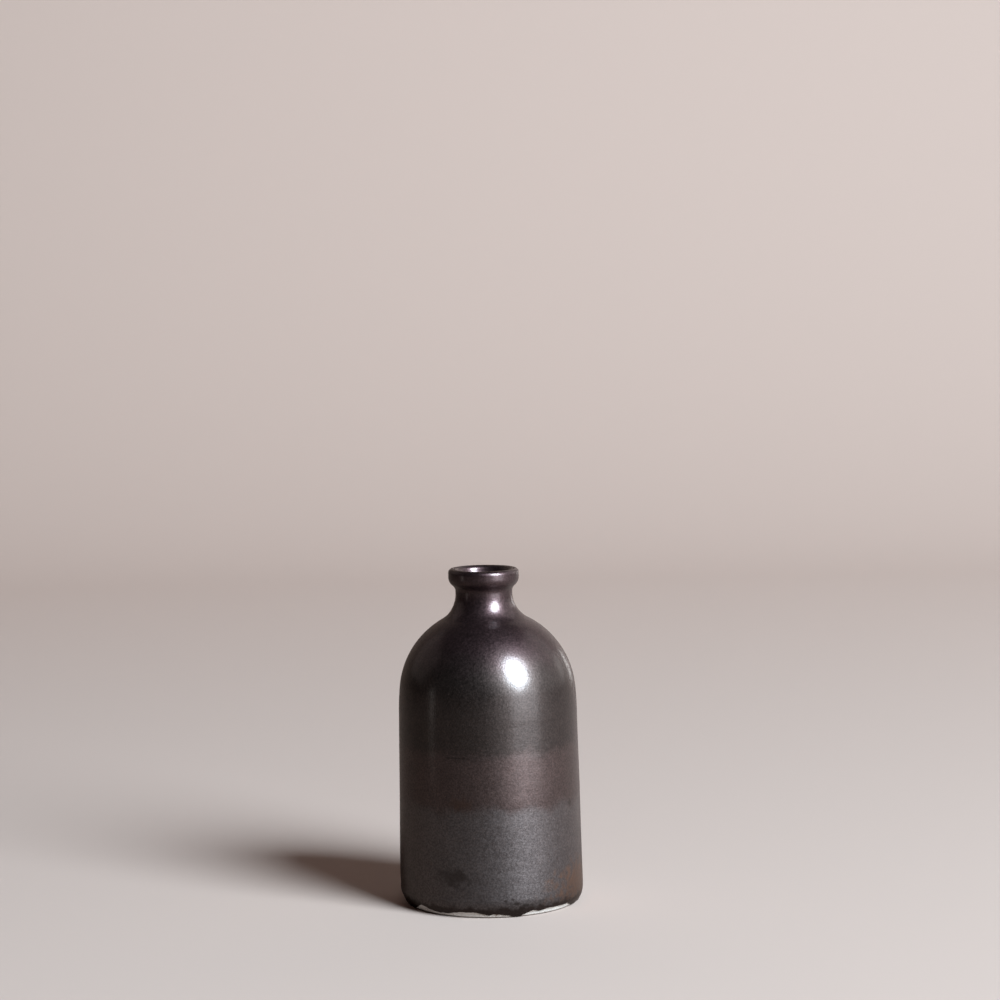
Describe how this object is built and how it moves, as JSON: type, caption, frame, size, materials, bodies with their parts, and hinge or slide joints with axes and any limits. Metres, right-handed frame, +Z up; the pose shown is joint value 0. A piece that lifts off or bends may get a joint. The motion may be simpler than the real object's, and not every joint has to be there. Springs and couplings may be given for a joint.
{
  "type": "bottle vase",
  "caption": "Small round stoneware bottle vase with a rolled lip, short neck, domed shoulder and flat unglazed foot ring, in dark satin glaze.",
  "frame": {"origin": "centre of the foot, on the surface that the vase stands on", "axes": "+Z up along the vase's axis; the vase is round, so X and Y are free, and its pictured side faces -Y"},
  "size_m": [0.061, 0.061, 0.1109],
  "materials": {
    "bare_stoneware": "bare fired buff clay, dry and slightly grainy",
    "lower_glaze": "satin metallic brown-black glaze",
    "upper_glaze": "satin metallic brown-black glaze",
    "liner_glaze": "glossy dark glaze"
  },
  "bodies": {
    "root": {"stoneware_body": "bare_stoneware", "lower_glaze_coat": "lower_glaze", "upper_glaze_coat": "upper_glaze", "liner_glaze": "liner_glaze"}
  },
  "joints": []
}
